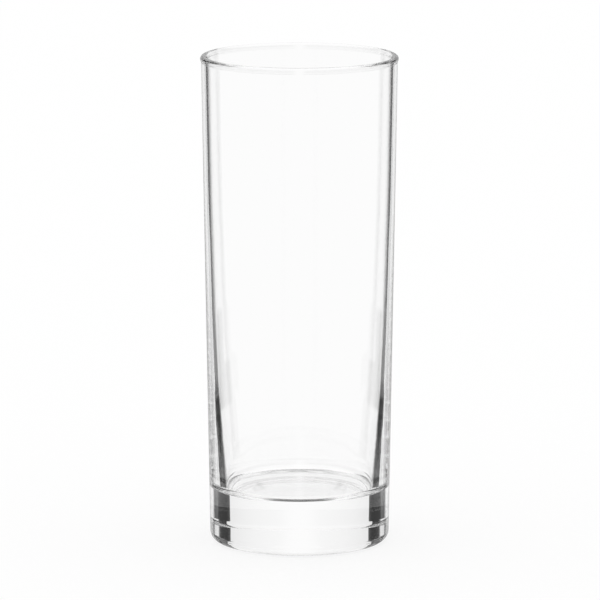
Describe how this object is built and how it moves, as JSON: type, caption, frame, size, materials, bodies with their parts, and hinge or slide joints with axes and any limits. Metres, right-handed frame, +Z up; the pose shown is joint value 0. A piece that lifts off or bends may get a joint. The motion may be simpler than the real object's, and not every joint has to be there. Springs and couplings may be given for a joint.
{
  "type": "highball glass",
  "caption": "Tall clear glass tumbler that widens slightly to a rolled rim, with a wall that thickens downwards into a heavy solid base, for long mixed drinks.",
  "frame": {"origin": "centre of the foot, on the table that the glass stands on", "axes": "+Z up along the axis of the glass, towards the mouth; X and Y are free, because the glass is round"},
  "size_m": [0.0642, 0.0642, 0.16],
  "materials": {
    "glass": "clear, fire-polished"
  },
  "bodies": {
    "root": {"tumbler": "glass"}
  },
  "joints": []
}
